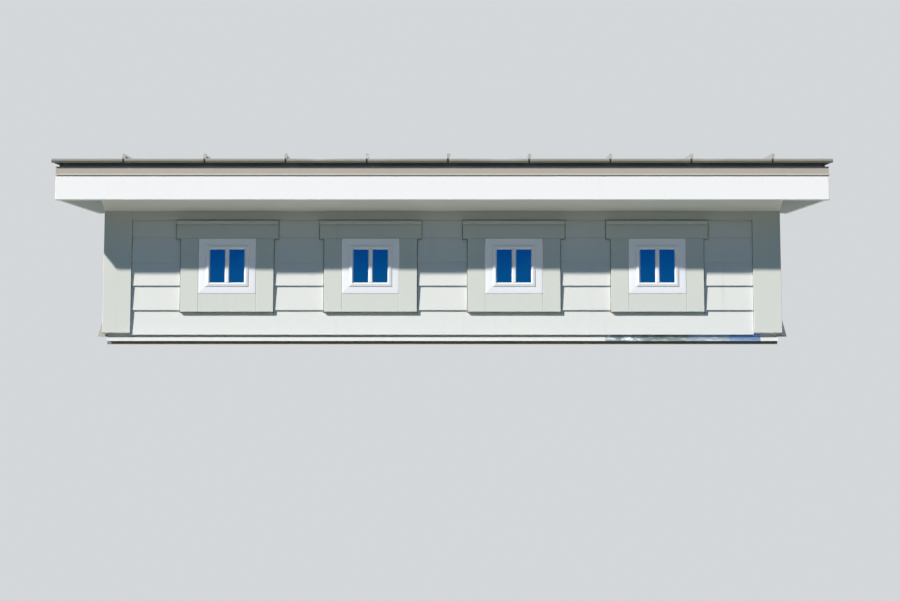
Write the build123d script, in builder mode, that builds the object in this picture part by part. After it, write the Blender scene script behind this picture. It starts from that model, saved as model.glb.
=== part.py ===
from build123d import *
from math import atan, ceil, cos, sin
import os

# Dormer window with a single-slope roof, in millimetres.
# X runs along the front wall, Y back into the main roof, Z up.
# The origin lies on the main roof, under the middle of the front wall's sole plate.

# Slopes, as rise for each unit of run
main_slope = 7 / 12
dormer_slope = 3 / 12

# Overall sizes
wall_width = 3410  # over the corner boards
deck_height = 941  # underside of the roof deck above the wall's foot, at the wall's face
front_overhang = 250  # wall's face to the face of the front fascia
rake_overhang = 230  # corner board to the face of the rake fascia

# Framing lumber and panels
framing = 38
stud_depth = 89
rafter_depth = 140
header_height = 140
framing_spacing = 406.4
sheathing = 11
deck = 12

# Trim boards
trim = 25
corner_width = 140
corner_foot = 51  # corner board's end above the main roof
frieze_height = 44
fascia = 19
fascia_height = 171
cap_gap = 27  # top of the fascia below the underside of the deck
soffit = 10
soffit_reveal = 3

# Lap siding
plank = 8
plank_height = 159
exposure = 127
siding_foot = 43  # lowest board above the main roof
siding_gap = 2  # joint between siding and trim

# Windows
window_count = 4
window_pitch = 722
window_size = 288
window_front = 28  # frame's face in front of the wall's face
window_depth = 90
frame_width = 36
sash_width = 22
sash_front = 33  # sash's face in front of the wall's face, prouder than the frame
sash_depth = 62
bar_width = 23
bar_front = 7
bar_taper = 35
sash_bevel = 6
bevel = 3
glass_front = 24  # glass in front of the wall's face
glass = 6
glass_lap = 6  # glass behind the sash on each side
glass_clearance = 0.3
shim_gap = 6  # rough opening beyond the frame
casing_width = 89
casing_reveal = 1
apron_height = 93
head_height = 98  # head casing with its cap
head_overhang = 23
cap_height = 21
cap_front = 17

# Sheet metal
sheet = 1.2
seam_pitch = 406.4
first_seam = 355  # from the left edge of the metal
seam_height = 25
seam_flange = 7
seam_hook = 11
seam_clearance = 0.3
seam_end_run = 14  # how far the seam's end leans back
lip_overhang = 25
rake_lip = 21
nose = 8
hem_run = 13
hem_drop = 18
strip_height = 45  # face of the strip that caps the fascia
strip_kick = 4
strip_flange = 60
roof_covering = 35  # shingles of the main roof under the flashings, measured upright
apron_leg = 75
apron_rise = 50  # top of the flashings above the main roof
bare_length = 777  # unpainted length of the apron
bare_from_end = 86  # its right end from the end of the wall
cheek_leg = 50
transition_lap = 110
transition_leg = 150

# Places worked out from the sizes
half_wall = wall_width / 2
sheath_x = half_wall - trim
frame_x = sheath_x - sheathing
front_face = -(sheathing + stud_depth / 2)
frame_front = -stud_depth / 2
frame_back = stud_depth / 2
wall_foot = main_slope * front_face
dormer_cos = cos(atan(dormer_slope))
dormer_sin = sin(atan(dormer_slope))
main_cos = cos(atan(main_slope))
main_sin = sin(atan(main_slope))

# Heights, at the origin's depth, of the layers that rise with the dormer's roof
deck_low = wall_foot + deck_height - dormer_slope * front_face
deck_high = deck_low + deck / dormer_cos
metal_low = deck_high + sheet / dormer_cos
metal_high = metal_low + sheet / dormer_cos
rafter_low = deck_low - rafter_depth / dormer_cos
rake_high = deck_low - cap_gap
rake_low = rake_high - fascia_height
rake_soffit_low = rake_low + soffit_reveal
rake_soffit_high = rake_soffit_low + soffit / dormer_cos
rake_frieze_low = rake_soffit_low - frieze_height

# Depths at the eave and half widths at the rakes
fascia_face = front_face - front_overhang
fascia_back = fascia_face + fascia
tail_end = fascia_back + framing
lip_y = fascia_face - lip_overhang
glass_face = front_face - glass_front
bare_end = sheath_x - bare_from_end
bare_start = bare_end - bare_length
rake_face = half_wall + rake_overhang
rake_back = rake_face - fascia
fly_back = rake_back - framing
metal_edge = rake_face + rake_lip
far_back = (metal_high + seam_height * 4) / (main_slope - dormer_slope)

# Level heights on the front wall
fascia_high = rake_high + dormer_slope * fascia_face
fascia_low = fascia_high - fascia_height
soffit_low = fascia_low + soffit_reveal
frieze_low = soffit_low - frieze_height
head_low = frieze_low - head_height
window_high = head_low - casing_reveal
window_low = window_high - window_size
casing_low = window_low - apron_height
plate_high = rafter_low + dormer_slope * frame_back
sole_high = main_slope * frame_back + framing
siding_low = wall_foot + siding_foot

opening_high = window_high + shim_gap
opening_half = window_size / 2 + shim_gap
window_middle = (window_high + window_low) / 2
window_centres = [(index - (window_count - 1) / 2) * window_pitch for index in range(window_count)]

# Everything is cut off along the main roof
main_roof = Plane(origin=(0, 0, 0), x_dir=(1, 0, 0), z_dir=(0, -main_slope, 1))


def facing(y):
    """Upright plane at depth y. A positive extrusion comes towards the front."""
    return Plane.XZ.offset(-y)


def across(x):
    """Section plane at width x. A positive extrusion goes to the right."""
    return Plane.YZ.offset(x)


def block(low_u, low_v, high_u, high_v, mode=Mode.ADD):
    """Rectangle from its low corner to its high corner."""
    return Polygon((low_u, low_v), (high_u, low_v), (high_u, high_v), (low_u, high_v), align=None, mode=mode)


def band(low, high, start, end=far_back, slope=dormer_slope, mode=Mode.ADD):
    """Side view of a layer between two lines that rise with a roof."""
    return Polygon(
        (start, low + slope * start),
        (end, low + slope * end),
        (end, high + slope * end),
        (start, high + slope * start),
        align=None,
        mode=mode,
    )


def folded(plane, *path):
    """Outline of a bent sheet: the path, and the same path one thickness to its left."""
    with BuildSketch(plane) as outline:
        with BuildLine():
            Polyline(*path)
            offset(amount=sheet, kind=Kind.INTERSECTION, side=Side.LEFT, closed=True)
        make_face()
    return outline.sketch


def lap_profile(low, high):
    """Lapped boards as (distance from the wall, height): a saw edge outside, flat behind."""
    lean = plank * exposure / plank_height
    courses = ceil((high - low) / exposure)
    outline = [(sheet, low)]
    for course in range(courses):
        foot = low + course * exposure
        rise = min(exposure, high - foot)
        outline.append((2 * plank, foot))
        outline.append((2 * plank - lean * rise / exposure, foot + rise))
    outline.append((sheet, high))
    return outline


def save(piece, name):
    """Label a finished piece and write it under its own name."""
    piece.part.label = name
    export_step(piece.part, f"parts/{name}.step")


os.makedirs("parts", exist_ok=True)
sides = {"left": -1, "right": 1}

# Front wall frame: bevelled sole plate, studs, headers, rough sills and doubled top plate
with BuildPart() as front_wall_frame:
    with BuildSketch(facing(frame_back)):
        block(-frame_x, main_slope * frame_front, frame_x, sole_high)
        block(-frame_x, plate_high - 2 * framing, frame_x, plate_high)
        for end in (-frame_x, frame_x - framing):
            block(end, sole_high, end + framing, plate_high)
        for centre in window_centres:
            for stud in (centre - opening_half - framing, centre + opening_half):
                block(stud, sole_high, stud + framing, plate_high)
            block(centre - framing / 2, sole_high, centre + framing / 2, window_low)
            block(centre - opening_half, window_low - framing, centre + opening_half, window_low)
            block(centre - opening_half, opening_high, centre + opening_half, opening_high + header_height)
    extrude(amount=stud_depth)
    split(bisect_by=main_roof)
save(front_wall_frame, "front_wall_frame")

# Front sheathing with a square opening for each window
with BuildPart() as front_sheathing:
    with BuildSketch(facing(front_face + sheathing)):
        block(-sheath_x, wall_foot, sheath_x, rafter_low + dormer_slope * front_face)
        for centre in window_centres:
            block(centre - opening_half, window_low, centre + opening_half, opening_high, Mode.SUBTRACT)
    extrude(amount=sheathing)
    split(bisect_by=main_roof)
save(front_sheathing, "front_sheathing")

# Cheek frames: a plate on the main roof, a plate under the rafters and studs between
plate_rise = framing / main_cos
stud_count = int((rafter_low / (main_slope - dormer_slope) - frame_back) / framing_spacing)
for side, sign in sides.items():
    with BuildPart() as cheek_frame:
        with BuildSketch(across(min(sign * frame_x, sign * (frame_x - stud_depth)))):
            band(0, plate_rise, frame_back, slope=main_slope)
            band(rafter_low - framing / dormer_cos, rafter_low, frame_back)
            for index in range(stud_count):
                stud = frame_back + index * framing_spacing
                band(0, rafter_low, stud, stud + framing)
            band(-far_back, rafter_low, frame_back, mode=Mode.INTERSECT)
        extrude(amount=stud_depth)
        split(bisect_by=main_roof)
    save(cheek_frame, f"cheek_frame_{side}")

# Cheek sheathing, up to the underside of the roof deck
for side, sign in sides.items():
    with BuildPart() as cheek_sheathing:
        with BuildSketch(across(min(sign * frame_x, sign * sheath_x))):
            band(-far_back, deck_low, front_face + sheathing)
        extrude(amount=sheathing)
        split(bisect_by=main_roof)
    save(cheek_sheathing, f"cheek_sheathing_{side}")

# Rafters, notched over the front wall's plate and cut to lie on the main roof
rafter_bays = ceil((2 * frame_x - framing) / framing_spacing)
rafter_step = (2 * frame_x - framing) / rafter_bays
with BuildPart() as rafters:
    for index in range(rafter_bays + 1):
        with BuildSketch(across(-frame_x + index * rafter_step)):
            band(rafter_low, deck_low, tail_end)
            block(frame_front, rafter_low - rafter_depth, frame_back, plate_high, Mode.SUBTRACT)
        extrude(amount=framing)
    split(bisect_by=main_roof)
save(rafters, "rafters")

# Eave frame: the board across the rafter ends and the fly rafter behind each rake
with BuildPart() as eave_frame:
    with BuildSketch(across(-rake_back)):
        band(rafter_low, deck_low, fascia_back, tail_end)
    extrude(amount=2 * rake_back)
    for start in (-rake_back, fly_back):
        with BuildSketch(across(start)):
            band(rafter_low, deck_low, tail_end)
        extrude(amount=framing)
    split(bisect_by=main_roof)
save(eave_frame, "eave_frame")

# Roof deck
with BuildPart() as roof_deck:
    with BuildSketch(across(-rake_back)):
        band(deck_low, deck_high, fascia_back)
    extrude(amount=2 * rake_back)
    split(bisect_by=main_roof)
save(roof_deck, "roof_deck")

# Front fascia
with BuildPart() as fascia_front:
    with BuildSketch(facing(fascia_back)):
        block(-rake_face, fascia_low, rake_face, fascia_high)
    extrude(amount=fascia)
save(fascia_front, "fascia_front")

# Rake fascias, butted behind the front one
for side, sign in sides.items():
    with BuildPart() as rake_fascia:
        with BuildSketch(across(min(sign * rake_back, sign * rake_face))):
            band(rake_low, rake_high, fascia_back)
        extrude(amount=fascia)
        split(bisect_by=main_roof)
    save(rake_fascia, f"rake_fascia_{side}")

# Level soffit in front of the wall
with BuildPart() as soffit_front:
    with BuildSketch(Plane.XY.offset(soffit_low)):
        block(-sheath_x, fascia_back, sheath_x, front_face)
    extrude(amount=soffit)
save(soffit_front, "soffit_front")

# Sloping soffits under the rakes
for side, sign in sides.items():
    with BuildPart() as rake_soffit:
        with BuildSketch(across(min(sign * sheath_x, sign * rake_back))):
            band(rake_soffit_low, rake_soffit_high, fascia_back)
        extrude(amount=rake_back - sheath_x)
        split(bisect_by=main_roof)
    save(rake_soffit, f"rake_soffit_{side}")

# Frieze board between the corner boards
with BuildPart() as frieze_front:
    with BuildSketch(facing(front_face)):
        block(-half_wall + corner_width, frieze_low, half_wall - corner_width, soffit_low)
    extrude(amount=trim)
save(frieze_front, "frieze_front")

# Rake friezes, which also close the ends of the level soffit
for side, sign in sides.items():
    with BuildPart() as rake_frieze:
        with BuildSketch(across(min(sign * sheath_x, sign * half_wall))):
            band(rake_frieze_low, rake_soffit_low, front_face - trim)
            block(fascia_back, soffit_low, front_face - trim, soffit_low + front_overhang)
            band(-far_back, rake_soffit_low, fascia_back, mode=Mode.INTERSECT)
        extrude(amount=trim)
        split(bisect_by=main_roof)
    save(rake_frieze, f"rake_frieze_{side}")

# Siding on the front wall, cut round the window casings
casing_half = window_size / 2 + casing_reveal + casing_width
head_half = casing_half + head_overhang
siding_half = half_wall - corner_width - siding_gap
with BuildPart() as siding_front:
    with BuildSketch(across(-siding_half)):
        Polygon(*[(front_face - out, z) for out, z in lap_profile(siding_low, frieze_low)], align=None)
    extrude(amount=2 * siding_half)
    with BuildSketch(facing(front_face)):
        for centre in window_centres:
            side_reach = casing_half + siding_gap
            head_reach = head_half + siding_gap
            block(centre - side_reach, casing_low - siding_gap, centre + side_reach, frieze_low)
            block(centre - head_reach, head_low - siding_gap, centre + head_reach, frieze_low)
    extrude(amount=3 * plank, mode=Mode.SUBTRACT)
save(siding_front, "siding_front")

# Siding on the cheeks, in the same level courses
side_start = front_face - trim + corner_width + siding_gap
cheek_high = rake_frieze_low * main_slope / (main_slope - dormer_slope)
for side, sign in sides.items():
    with BuildPart() as siding_side:
        with BuildSketch(facing(far_back)):
            outline = [(sign * (sheath_x + out), z) for out, z in lap_profile(siding_low, cheek_high)]
            Polygon(*outline, align=None)
        extrude(amount=far_back - side_start)
        with BuildSketch(across(min(sign * sheath_x, sign * (sheath_x + 3 * plank)))):
            band(-far_back, rake_frieze_low, side_start)
            band(-far_back, siding_foot, side_start, slope=main_slope, mode=Mode.SUBTRACT)
        extrude(amount=3 * plank, mode=Mode.INTERSECT)
    save(siding_side, f"siding_{side}")

# Corner boards: a front board and a side board in one corner
corner_start = front_face - trim
corner_end = corner_start + corner_width
for side, sign in sides.items():
    with BuildPart() as corner_board:
        with BuildSketch(facing(front_face)):
            inner = sign * (half_wall - corner_width)
            outer = sign * half_wall
            block(min(inner, outer), wall_foot + corner_foot, max(inner, outer), soffit_low)
        extrude(amount=trim)
        with BuildSketch(across(min(sign * sheath_x, sign * half_wall))):
            Polygon(
                (corner_start, wall_foot + corner_foot),
                (front_face, wall_foot + corner_foot),
                (corner_end, main_slope * corner_end + corner_foot),
                (corner_end, rake_frieze_low + dormer_slope * corner_end),
                (corner_start, rake_frieze_low + dormer_slope * corner_start),
                align=None,
            )
        extrude(amount=trim)
    save(corner_board, f"corner_board_{side}")

# Window frames: outer frame, stepped sash with a rebate for the glass, and a centre bar
sash_size = window_size - 2 * frame_width
light_size = sash_size - 2 * sash_width
rebate_size = light_size + 2 * glass_lap
for number, centre in enumerate(window_centres, start=1):
    with BuildPart() as window_frame:
        with BuildSketch(facing(front_face - window_front + window_depth)):
            with Locations((centre, window_middle)):
                Rectangle(window_size, window_size)
                Rectangle(sash_size, sash_size, mode=Mode.SUBTRACT)
        extrude(amount=window_depth)
        rim = window_frame.faces().filter_by(Axis.Y).sort_by(Axis.Y)[0]
        chamfer(rim.edges(), length=bevel)
        with BuildSketch(facing(front_face - sash_front + sash_depth)):
            with Locations((centre, window_middle)):
                Rectangle(sash_size, sash_size)
                Rectangle(rebate_size, rebate_size, mode=Mode.SUBTRACT)
        extrude(amount=sash_depth - sash_front + glass_front)
        with BuildSketch(facing(glass_face)):
            with Locations((centre, window_middle)):
                Rectangle(sash_size, sash_size)
                Rectangle(light_size, light_size, mode=Mode.SUBTRACT)
        extrude(amount=sash_front - glass_front)
        with BuildSketch(facing(front_face - sash_front)):
            with Locations((centre, window_middle)):
                Rectangle(light_size + 2 * sash_bevel, light_size + 2 * sash_bevel)
        extrude(amount=-sash_bevel, taper=45, mode=Mode.SUBTRACT)
        with BuildSketch(facing(glass_face)):
            with Locations((centre, window_middle)):
                Rectangle(bar_width, light_size + 2 * bar_front)
        extrude(amount=bar_front, taper=bar_taper)
    save(window_frame, f"window_frame_{number}")

# Window glass: one square sheet in each sash
with BuildPart() as window_glass:
    with BuildSketch(facing(glass_face + glass)):
        with Locations(*[(centre, window_middle) for centre in window_centres]):
            Rectangle(rebate_size - 2 * glass_clearance, rebate_size - 2 * glass_clearance)
    extrude(amount=glass)
save(window_glass, "window_glass")

# Window casings: sides, apron, head and the cap strip on the head
inner_half = window_size / 2 + casing_reveal
for number, centre in enumerate(window_centres, start=1):
    with BuildPart() as window_casing:
        with BuildSketch(facing(front_face)):
            block(centre - casing_half, casing_low, centre + casing_half, head_low)
            block(centre - inner_half, window_low, centre + inner_half, head_low, Mode.SUBTRACT)
            block(centre - head_half, head_low, centre + head_half, frieze_low)
        extrude(amount=trim)
        with BuildSketch(facing(front_face - trim)):
            block(centre - head_half, frieze_low - cap_height, centre + head_half, frieze_low)
        extrude(amount=cap_front)
    save(window_casing, f"window_casing_{number}")

# Roof panels. Each is drawn in section, looking up the slope, with its top face at height zero,
# and has a plain leg on its left edge and a hooked cap on its right edge.
lip_z = metal_high + dormer_slope * lip_y
section = Plane(origin=(0, lip_y, lip_z), x_dir=(1, 0, 0), z_dir=(0, -dormer_cos, -dormer_sin))
roof_run = (far_back - lip_y) / dormer_cos
seam_count = int((2 * metal_edge - first_seam) / seam_pitch) + 1
seams = [-metal_edge + first_seam + index * seam_pitch for index in range(seam_count)]
left_edges = [-metal_edge] + seams
right_edges = seams + [metal_edge]
leg_high = seam_height - sheet - seam_clearance
cap_right = seam_flange + seam_clearance + sheet

for number, (left, right) in enumerate(zip(left_edges, right_edges), start=1):
    has_leg = left in seams
    has_cap = right in seams
    pan_right = right - seam_clearance if has_cap else right
    with BuildPart() as roof_panel:
        with BuildSketch(section):
            block(left, -sheet, pan_right, 0)
            if has_leg:
                block(left, -sheet, left + sheet, leg_high)
                block(left, leg_high - sheet, left + seam_flange, leg_high)
            else:
                block(left, -hem_drop, left + sheet, 0)
            if has_cap:
                block(pan_right - sheet, -sheet, pan_right, seam_height)
                block(pan_right - sheet, seam_height - sheet, right + cap_right, seam_height)
                block(right + cap_right - sheet, seam_height - seam_hook, right + cap_right, seam_height)
            else:
                block(right - sheet, -hem_drop, right, 0)
        extrude(amount=-roof_run)
        split(bisect_by=main_roof)
        # The seam's end leans back from the lip
        with BuildSketch(across(left - seam_height)):
            Polygon(
                (lip_y - seam_height, lip_z),
                (lip_y, lip_z),
                (lip_y + seam_end_run, lip_z + seam_height),
                (lip_y + seam_end_run, lip_z + 2 * seam_height),
                (lip_y - seam_height, lip_z + 2 * seam_height),
                align=None,
            )
        extrude(amount=right - left + 2 * seam_height, mode=Mode.SUBTRACT)
        # The eave is folded down over a short nose and back under at a slant
        hem = folded(
            across(left),
            (lip_y + hem_run, lip_z + dormer_slope * hem_run),
            (lip_y, lip_z),
            (lip_y, lip_z - nose),
            (lip_y + hem_run, lip_z - hem_drop),
        )
        extrude(hem, amount=pan_right - left)
    save(roof_panel, f"roof_panel_{number:02d}")

# Eave flashing: lies on the deck, steps down behind the fascia's top edge and caps it
with BuildPart() as eave_flashing:
    flange_end = fascia_back + strip_flange
    strip_face = [
        (fascia_face - strip_kick, fascia_high - strip_height),
        (fascia_face, fascia_high - strip_height + 2 * strip_kick),
        (fascia_face, fascia_high),
    ]
    fascia_cover = [(fascia_back, fascia_high), (fascia_back, deck_high + dormer_slope * fascia_back)]
    deck_cover = [(flange_end, deck_high + dormer_slope * flange_end)]
    deck_reach = rake_back - strip_flange
    extrude(folded(across(-deck_reach), *strip_face, *fascia_cover, *deck_cover), amount=2 * deck_reach)
    extrude(folded(across(-rake_back), *strip_face, *fascia_cover), amount=2 * rake_back)
    extrude(folded(across(-rake_face), *strip_face), amount=2 * rake_face)
save(eave_flashing, "eave_flashing")

# Rake flashings: the same strip, running up the right rake, and its mirror image on the left
with BuildPart() as rake_flashing_right:
    drop = dormer_slope * fascia_face
    strip = folded(
        facing(fascia_face),
        (rake_back - strip_flange, deck_high + drop),
        (rake_back, deck_high + drop),
        (rake_back, rake_high + drop),
        (rake_face, rake_high + drop),
        (rake_face, rake_high + drop - strip_height + 2 * strip_kick),
        (rake_face + strip_kick, rake_high + drop - strip_height),
    )
    extrude(strip, amount=roof_run, dir=(0, dormer_cos, dormer_sin))
    with BuildSketch(across(rake_back - strip_flange)):
        band(rake_high + sheet, deck_high + trim, fascia_face, fascia_back)
    extrude(amount=strip_flange + fascia, mode=Mode.SUBTRACT)
    split(bisect_by=main_roof)
save(rake_flashing_right, "rake_flashing_right")

with BuildPart() as rake_flashing_left:
    add(mirror(rake_flashing_right.part, about=Plane.YZ))
save(rake_flashing_left, "rake_flashing_left")

# Transition flashing: covers the seams' top ends, is notched over each seam and runs up the main roof
seam_top = metal_high + seam_height / dormer_cos
turn_y = seam_top / (main_slope - dormer_slope)
closure_y = turn_y - transition_lap
with BuildPart() as transition_flashing:
    sheet_line = folded(
        across(-metal_edge),
        (closure_y, metal_high + seam_clearance + dormer_slope * closure_y),
        (closure_y, seam_top + dormer_slope * closure_y),
        (turn_y, main_slope * turn_y),
        (turn_y + transition_leg * main_cos, main_slope * turn_y + transition_leg * main_sin),
    )
    extrude(sheet_line, amount=2 * metal_edge)
    for seam in seams:
        with BuildSketch(across(seam - 2 * sheet)):
            band(metal_high, seam_top, closure_y - 2 * sheet, closure_y + 2 * sheet)
        extrude(amount=cap_right + 4 * sheet, mode=Mode.SUBTRACT)
save(transition_flashing, "transition_flashing")

# Apron flashing under the front siding, on top of the main roof's shingles: white lengths and one bare length
apron_start = front_face - apron_leg * main_cos
apron_path = [
    (apron_start, main_slope * apron_start + roof_covering),
    (front_face, wall_foot + roof_covering),
    (front_face, wall_foot + apron_rise),
]
with BuildPart() as apron_flashing_white:
    for start, end in ((-sheath_x, bare_start), (bare_end, sheath_x)):
        extrude(folded(across(start), *apron_path), amount=end - start)
save(apron_flashing_white, "apron_flashing_white")

with BuildPart() as apron_flashing_bare:
    extrude(folded(across(bare_start), *apron_path), amount=bare_end - bare_start)
save(apron_flashing_bare, "apron_flashing_bare")

# Cheek flashings: one leg up the sheathing and one out over the main roof's shingles
for side, sign in sides.items():
    with BuildPart() as cheek_flashing:
        with BuildSketch(across(min(sign * sheath_x, sign * (sheath_x + sheet)))):
            band(roof_covering, apron_rise, front_face, slope=main_slope)
            band(-far_back, rake_frieze_low, front_face, mode=Mode.INTERSECT)
        extrude(amount=sheet)
        with BuildSketch(across(min(sign * sheath_x, sign * (sheath_x + cheek_leg)))):
            band(roof_covering, roof_covering + sheet / main_cos, apron_start, slope=main_slope)
            band(-far_back, rake_frieze_low, apron_start, mode=Mode.INTERSECT)
        extrude(amount=cheek_leg)
    save(cheek_flashing, f"cheek_flashing_{side}")
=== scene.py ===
# %% [markdown]
# # A wide shed dormer with four small windows
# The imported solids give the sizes. Each piece here takes the place of one or two of them, as
# separate boards, folded sheets or glazing, with finishes of their own.

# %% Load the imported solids
import math
import random

import bmesh
import bpy
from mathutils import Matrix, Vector, noise


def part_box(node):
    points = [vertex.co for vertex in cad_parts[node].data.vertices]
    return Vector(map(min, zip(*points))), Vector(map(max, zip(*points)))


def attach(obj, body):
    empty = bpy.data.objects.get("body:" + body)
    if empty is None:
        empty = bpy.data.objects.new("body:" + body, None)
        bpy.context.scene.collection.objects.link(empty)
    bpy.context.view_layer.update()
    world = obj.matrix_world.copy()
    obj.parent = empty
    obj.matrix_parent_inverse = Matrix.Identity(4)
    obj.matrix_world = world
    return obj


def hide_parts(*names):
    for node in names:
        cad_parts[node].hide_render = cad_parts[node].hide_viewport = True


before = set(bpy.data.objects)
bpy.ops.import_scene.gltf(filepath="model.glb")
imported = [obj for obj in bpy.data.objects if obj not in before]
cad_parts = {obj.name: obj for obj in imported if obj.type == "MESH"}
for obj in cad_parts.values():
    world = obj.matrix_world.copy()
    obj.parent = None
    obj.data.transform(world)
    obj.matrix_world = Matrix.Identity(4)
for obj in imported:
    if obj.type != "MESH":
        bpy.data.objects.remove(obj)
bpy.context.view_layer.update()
random.seed(12)

# %% [markdown]
# ## Camera
# The picture looks up at the wall: the tilt shows the eave's underside, and lines that run back
# hardly close in. So the lens is long and the camera far off. A picture doesn't tell the distance
# by itself: a nearer camera with a wider lens would fill it as well, but then the uprights of the
# wall would lean in more.


# %% Stand the camera in front of the wall, below its foot
def in_scene(name, data):
    """A new object with this data, linked to the scene."""
    made = bpy.data.objects.new(name, data)
    bpy.context.scene.collection.objects.link(made)
    return made


tilt = math.radians(14.42)
lens = bpy.data.cameras.new("camera")
lens.sensor_width = 36.0
lens.lens = 163.78
lens.clip_end = 900.0
camera = in_scene("camera", lens)
camera.location = (0.039, -20.0, -4.937)
camera.rotation_euler = (math.pi / 2 + tilt, 0.0, 0.0)
bpy.context.scene.camera = camera
print("camera", camera.location[:], "lens", lens.lens)

# %% [markdown]
# ## Shader sums
# A finish is a sum of many small patterns. It could be written node by node and link by link, but
# then the sum is hard to see. So a Wire is the output of one node, and adding or multiplying
# wires adds Math nodes, so that the sums read as Python. Every other node comes from the one
# method Finish.node.


# %% A wire
class Wire:
    """The output of a shader node. Sums with it add Math nodes to the same finish."""

    def __init__(self, finish, socket):
        self.finish = finish
        self.socket = socket

    def maths(self, operation, first, second):
        return self.finish.node("Math", {0: first, 1: second}, operation=operation)

    def beside(self, name):
        """Another output of the same node."""
        return Wire(self.finish, self.socket.node.outputs[name])

    def __add__(self, other):
        return self.maths("ADD", self, other)

    def __sub__(self, other):
        return self.maths("SUBTRACT", self, other)

    def __rsub__(self, other):
        return self.maths("SUBTRACT", other, self)

    def __mul__(self, other):
        return self.maths("MULTIPLY", self, other)

    __radd__ = __add__
    __rmul__ = __mul__


# %% A finish
class Finish:
    """One material, or the world, built from wires."""

    def __init__(self, name, holder=None):
        self.name = name
        self.material = holder or bpy.data.materials.new(name)
        self.material.use_nodes = True
        self.tree = self.material.node_tree
        self.tree.nodes.clear()

    def node(self, kind, sockets=None, out=0, **settings):
        """A shader node with its settings. A socket takes a wire, a number or a colour."""
        made = self.tree.nodes.new("ShaderNode" + kind)
        for name, value in settings.items():
            if name == "stops":
                stops = made.color_ramp.elements
                while len(stops) < len(value):
                    stops.new(0.5)
                for stop, (place, colour) in zip(stops, value):
                    stop.position = place
                    stop.color = (*colour, 1.0)
            else:
                setattr(made, name, value)
        for name, value in (sockets or {}).items():
            socket = made.inputs[name]
            if isinstance(value, Wire):
                self.tree.links.new(value.socket, socket)
            else:
                socket.default_value = (*value, 1.0) if socket.type == "RGBA" else value
        return Wire(self, made.outputs[out]) if made.outputs else None

    def place(self):
        return self.node("TexCoord", out="Object")

    def grain(self):
        """Where a point lies along, across and through its own board."""
        return self.node("Attribute", out="Vector", attribute_name="grain")

    def scaled(self, vector, scale):
        return self.node("VectorMath", {0: vector, 1: scale}, operation="MULTIPLY")

    def noise(self, scale, detail=3.0, roughness=0.5, distortion=0.0, over=None):
        """Noise over the object's place, or over another vector. Three scales stretch it."""
        over = over or self.place()
        if isinstance(scale, tuple):
            over, scale = self.scaled(over, scale), 1.0
        sockets = {"Vector": over, "Scale": scale, "Detail": detail}
        sockets |= {"Roughness": roughness, "Distortion": distortion}
        return self.node("TexNoise", sockets)

    def spread(self, value, low, high, to_low=0.0, to_high=1.0):
        sockets = {0: value, 1: low, 2: high, 3: to_low, 4: to_high}
        return self.node("MapRange", sockets, interpolation_type="SMOOTHSTEP")

    def mix(self, factor, first, second):
        return self.node("Mix", {0: factor, 6: first, 7: second}, 2, data_type="RGBA")

    def stain(self, tone, colour, pattern, low, high, amount):
        """The tone with a colour laid over it where a pattern is high."""
        return self.mix(self.spread(pattern, low, high) * amount, tone, colour)

    def bump(self, height, strength, distance, below=None):
        sockets = {"Height": height, "Strength": strength, "Distance": distance}
        if below:
            sockets["Normal"] = below
        return self.node("Bump", sockets)

    def surface(self, **sockets):
        named = {name.replace("_", " "): value for name, value in sockets.items()}
        self.node("OutputMaterial", {"Surface": self.node("BsdfPrincipled", named)})
        print("finish", self.name, "with", len(self.tree.nodes), "nodes")
        return self

    def seen_rays(self):
        """One for rays from the camera, a mirror or through glass, and nothing for other rays."""
        rays = self.node("LightPath", out="Is Camera Ray")
        both = {0: rays + rays.beside("Is Glossy Ray"), 1: rays.beside("Is Transmission Ray")}
        return self.node("Math", both, operation="ADD", use_clamp=True)


# %% [markdown]
# ## Stage and light
# A pale floor and a pale, even world stand in for a studio. A distant lamp at the upper left
# stands for the sun of the picture, so the eave shades the same part of the wall. A near one
# would light the left end of the wide wall more than its right end. A weak lamp lights the back.
# The floor lies so low that it never hides the wall from a camera below the eave. It is warm and
# pale near the middle, which lights the eave's underside, and dark further out, which leaves the
# boards under the eave in shade. Floor and world look paler than they light, because more light
# from them would fill that shade.

# %% Floor
floor_depth = -22.0
floor_radius = 280.0
pale_radius, dark_radius = 9.0, 28.0
even_share = 0.7
rim_count = 64
pale_grey = (0.66, 0.68, 0.70)
stage_paint = Finish("stage_floor")
stage_seen = stage_paint.seen_rays()
floor_seen = stage_paint.mix(stage_paint.noise(3.0, 5.0), (0.44, 0.44, 0.43), (0.48, 0.48, 0.47))
level = stage_paint.scaled(stage_paint.place(), (1.0, 1.0, 0.0))
away = stage_paint.node("VectorMath", {0: level}, "Value", operation="LENGTH")
far_off = stage_paint.spread(away, pale_radius, dark_radius)
floor_bounce = stage_paint.mix(far_off, (0.46, 0.44, 0.34), (0.03, 0.03, 0.02))
floor_tone = stage_paint.mix(stage_seen, floor_bounce, floor_seen)
matte = stage_paint.node("BsdfDiffuse", {"Color": floor_tone})
even = stage_paint.node("Emission", {"Color": pale_grey, "Strength": 1.0})
both = stage_paint.node("MixShader", {0: stage_seen * even_share, 1: matte, 2: even})
stage_paint.node("OutputMaterial", {"Surface": both})
floor_mesh = bpy.data.meshes.new("floor")
turns = [math.tau * step / rim_count for step in range(rim_count)]
rim = [(floor_radius * math.cos(turn), floor_radius * math.sin(turn)) for turn in turns]
floor_mesh.from_pydata([(x, y, floor_depth) for x, y in rim], [], [list(range(rim_count))])
floor_mesh.materials.append(stage_paint.material)
floor = in_scene("floor", floor_mesh)
print("floor at", floor_depth)

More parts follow.
